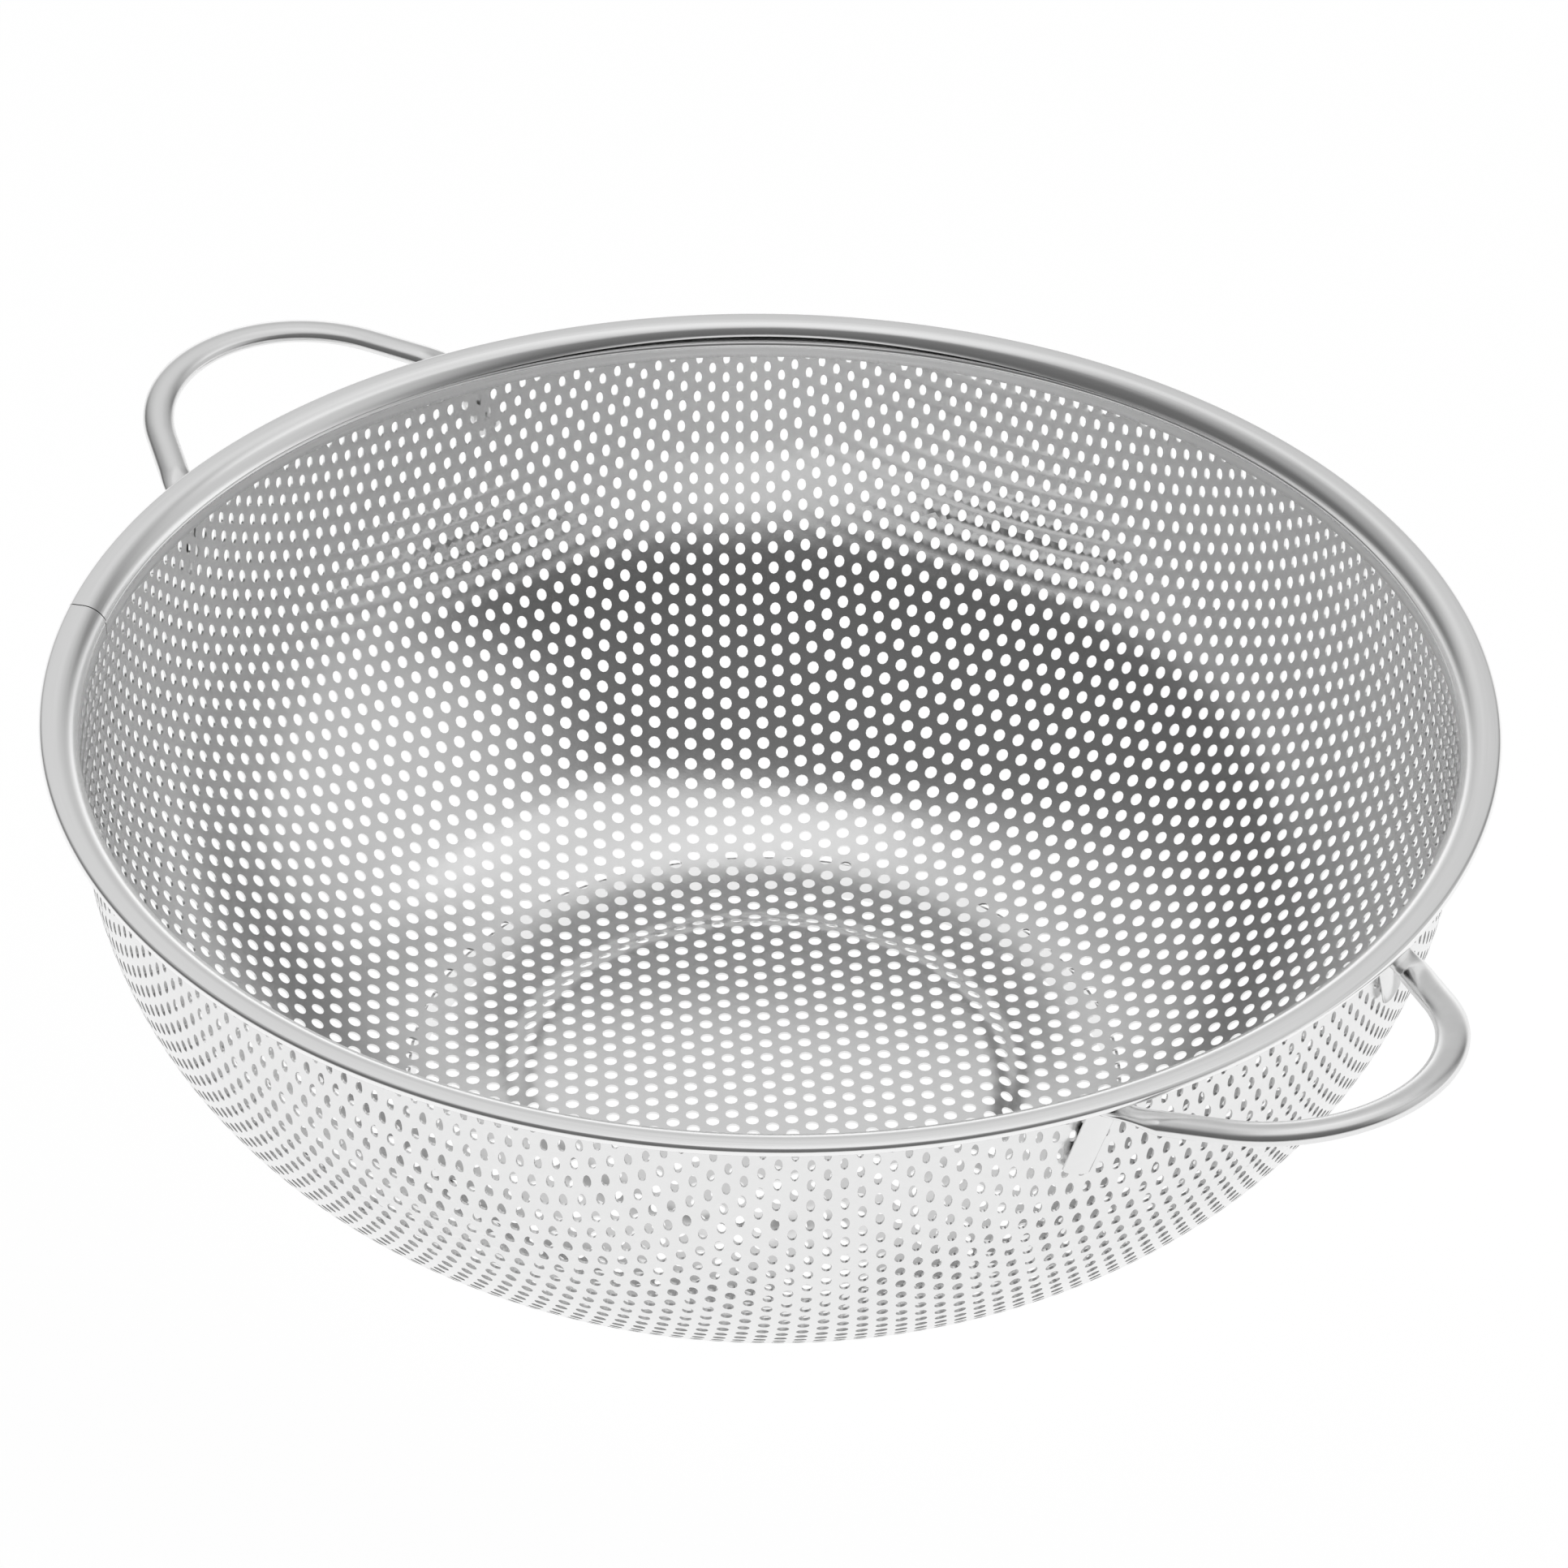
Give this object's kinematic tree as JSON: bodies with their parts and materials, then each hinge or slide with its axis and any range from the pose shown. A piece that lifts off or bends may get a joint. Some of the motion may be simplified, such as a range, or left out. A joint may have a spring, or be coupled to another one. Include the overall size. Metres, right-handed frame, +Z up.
{
  "type": "colander",
  "caption": "Stainless steel colander: round perforated bowl with a rolled rim band, a foot ring and two looped tube handles at the rim.",
  "frame": {"origin": "centre of the foot ring on the surface that the colander stands on", "axes": "+Z up along the bowl's axis, +X through the handles, +Y across them"},
  "size_m": [0.367, 0.3002, 0.1112],
  "materials": {
    "satin_steel": "satin",
    "rim_steel": "satin",
    "foot_steel": "satin",
    "handle_steel": "satin"
  },
  "bodies": {
    "root": {"foot_ring": "foot_steel", "handle_left": "handle_steel", "handle_right": "handle_steel", "perforated_bowl": "satin_steel", "rim_band": "rim_steel"}
  },
  "joints": []
}
